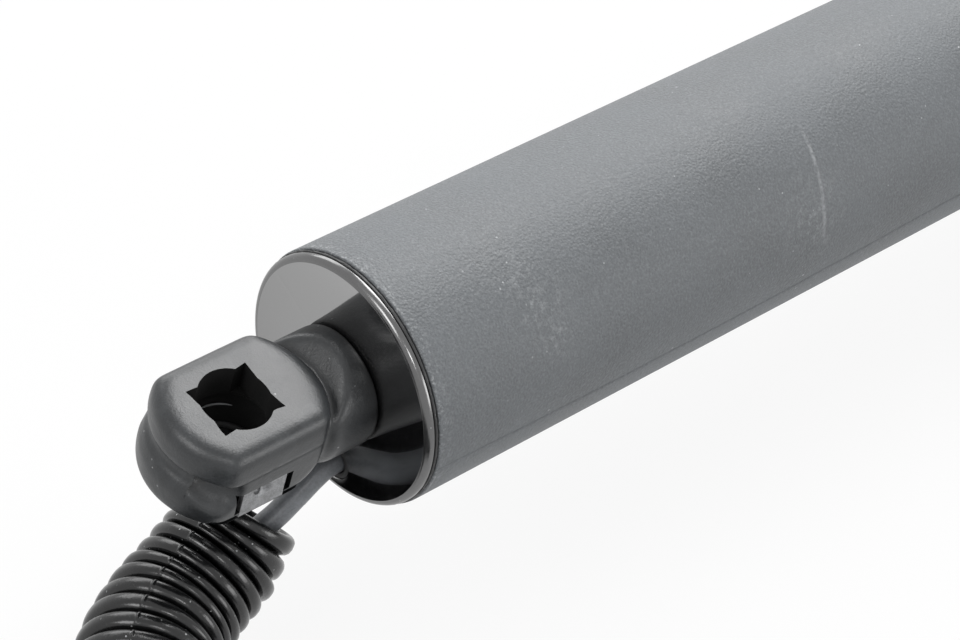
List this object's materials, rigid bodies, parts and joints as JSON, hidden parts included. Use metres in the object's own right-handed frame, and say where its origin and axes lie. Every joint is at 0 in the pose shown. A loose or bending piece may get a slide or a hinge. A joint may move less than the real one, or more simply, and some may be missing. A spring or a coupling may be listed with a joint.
{
  "type": "powered tailgate strut",
  "caption": "Powered tailgate strut with ball sockets at both ends, a textured housing tube and a cable in a ribbed rubber conduit.",
  "frame": {"origin": "centre of the lower ball, where the ball seat's straight wall begins", "axes": "+X from the lower ball to the upper ball along the strut, -Z out of both ball seats' mouths, the clips pull out along -Y and +Y"},
  "size_m": [0.6082, 0.1304, 0.0595],
  "materials": {
    "coated_steel": "matt dark grey coat with a fine grain",
    "dark_steel": "satin black coat",
    "black_plastic": "moulded, satin",
    "gloss_black": "polished black",
    "seal_grey": "moulded, satin",
    "grey_nylon": "glass-filled moulding, satin",
    "spring_sheet": "zinc plated sheet",
    "black_rubber": "moulded, dull",
    "board_green": "lacquered board",
    "motor_steel": "zinc plated",
    "magnet_grey": "sintered, dull",
    "bronze": "sintered bronze",
    "brake_lining": "friction lining",
    "cast_alloy": "die cast",
    "bright_steel": "ground",
    "spring_steel": "phosphated wire",
    "cable_jacket": "extruded jacket, satin",
    "bellows_rubber": "moulded, slightly glossy",
    "connector_black": "moulded",
    "lock_pale": "moulded",
    "copper_wire": "enamelled wire",
    "copper_bar": "turned",
    "pale_nylon": "natural nylon"
  },
  "bodies": {
    "housing": {"housing_tube": "coated_steel", "lower_end_cap": "gloss_black", "cap_seal_ring": "seal_grey", "lower_ball_socket": "grey_nylon", "cable_gland": "black_rubber", "sensor_board": "board_green", "motor_dampers": "black_rubber", "motor_can": "motor_steel", "motor_magnets": "magnet_grey", "brush_plate": "black_plastic", "brushes": "magnet_grey", "front_bush": "bronze", "ring_gear": "dark_steel", "gear_cover": "black_plastic", "brake_plate": "brake_lining", "bearing_carrier": "cast_alloy", "bearing_outer_race": "bright_steel", "guide_tube": "motor_steel", "lower_spring_seat": "black_plastic", "compression_spring": "spring_steel", "mouth_ring": "black_plastic", "wiper_seal": "black_rubber", "cable": "cable_jacket", "bellows": "bellows_rubber", "body_grommet": "bellows_rubber", "connector": "connector_black", "connector_lock": "lock_pale"},
    "rotor": {"armature_core": "motor_steel", "armature_windings": "copper_wire", "commutator": "copper_bar", "sun_shaft": "bright_steel"},
    "planet_1": {"planet_gear_1": "pale_nylon"},
    "planet_2": {"planet_gear_2": "pale_nylon"},
    "planet_3": {"planet_gear_3": "pale_nylon"},
    "spindle": {"planet_carrier": "dark_steel", "brake_disc": "dark_steel", "bearing_inner_race": "bright_steel", "spindle": "bright_steel", "spindle_stop": "dark_steel"},
    "ball_cage": {"bearing_cage": "bronze", "bearing_balls": "bright_steel"},
    "rod": {"spindle_nut": "pale_nylon", "push_tube": "bright_steel", "cover_tube": "dark_steel", "slide_ring": "pale_nylon", "upper_spring_seat": "black_plastic", "upper_end_cap": "gloss_black", "upper_ball_socket": "grey_nylon"},
    "lower_clip": {"lower_clip": "spring_sheet"},
    "upper_clip": {"upper_clip": "spring_sheet"}
  },
  "joints": [
    {"name": "extension", "type": "slide", "parent": "housing", "child": "rod", "axis": [1, 0, 0], "range_m": [0, 0.18], "deforming": ["compression_spring"]},
    {"name": "spindle_spin", "type": "hinge", "parent": "housing", "child": "spindle", "pos_m": [0.2, 0, 0], "axis": [1, 0, 0], "range_deg": [0, 3240]},
    {"name": "rotor_spin", "type": "hinge", "parent": "housing", "child": "rotor", "pos_m": [0.08, 0, 0], "axis": [1, 0, 0], "range_deg": [0, 19440]},
    {"name": "planet_1_spin", "type": "hinge", "parent": "spindle", "child": "planet_1", "pos_m": [0.115, 0.009, 0], "axis": [1, 0, 0], "range_deg": [-8100, 0]},
    {"name": "planet_2_spin", "type": "hinge", "parent": "spindle", "child": "planet_2", "pos_m": [0.115, -0.0045, 0.00779], "axis": [1, 0, 0], "range_deg": [-8100, 0]},
    {"name": "planet_3_spin", "type": "hinge", "parent": "spindle", "child": "planet_3", "pos_m": [0.115, -0.0045, -0.00779], "axis": [1, 0, 0], "range_deg": [-8100, 0]},
    {"name": "cage_spin", "type": "hinge", "parent": "housing", "child": "ball_cage", "pos_m": [0.143, 0, 0], "axis": [1, 0, 0], "range_deg": [0, 1270]},
    {"name": "lower_clip_pull", "type": "slide", "parent": "housing", "child": "lower_clip", "axis": [0, -1, 0], "range_m": [0, 0.0055]},
    {"name": "upper_clip_pull", "type": "slide", "parent": "rod", "child": "upper_clip", "axis": [0, 1, 0], "range_m": [0, 0.0055]}
  ],
  "couplings": [
    {"joint": "spindle_spin", "follows": "extension", "rad_per_m": 314.16},
    {"joint": "rotor_spin", "follows": "extension", "rad_per_m": 1885},
    {"joint": "planet_1_spin", "follows": "extension", "rad_per_m": -785.4},
    {"joint": "planet_2_spin", "follows": "extension", "rad_per_m": -785.4},
    {"joint": "planet_3_spin", "follows": "extension", "rad_per_m": -785.4},
    {"joint": "cage_spin", "follows": "extension", "rad_per_m": 123.12}
  ]
}
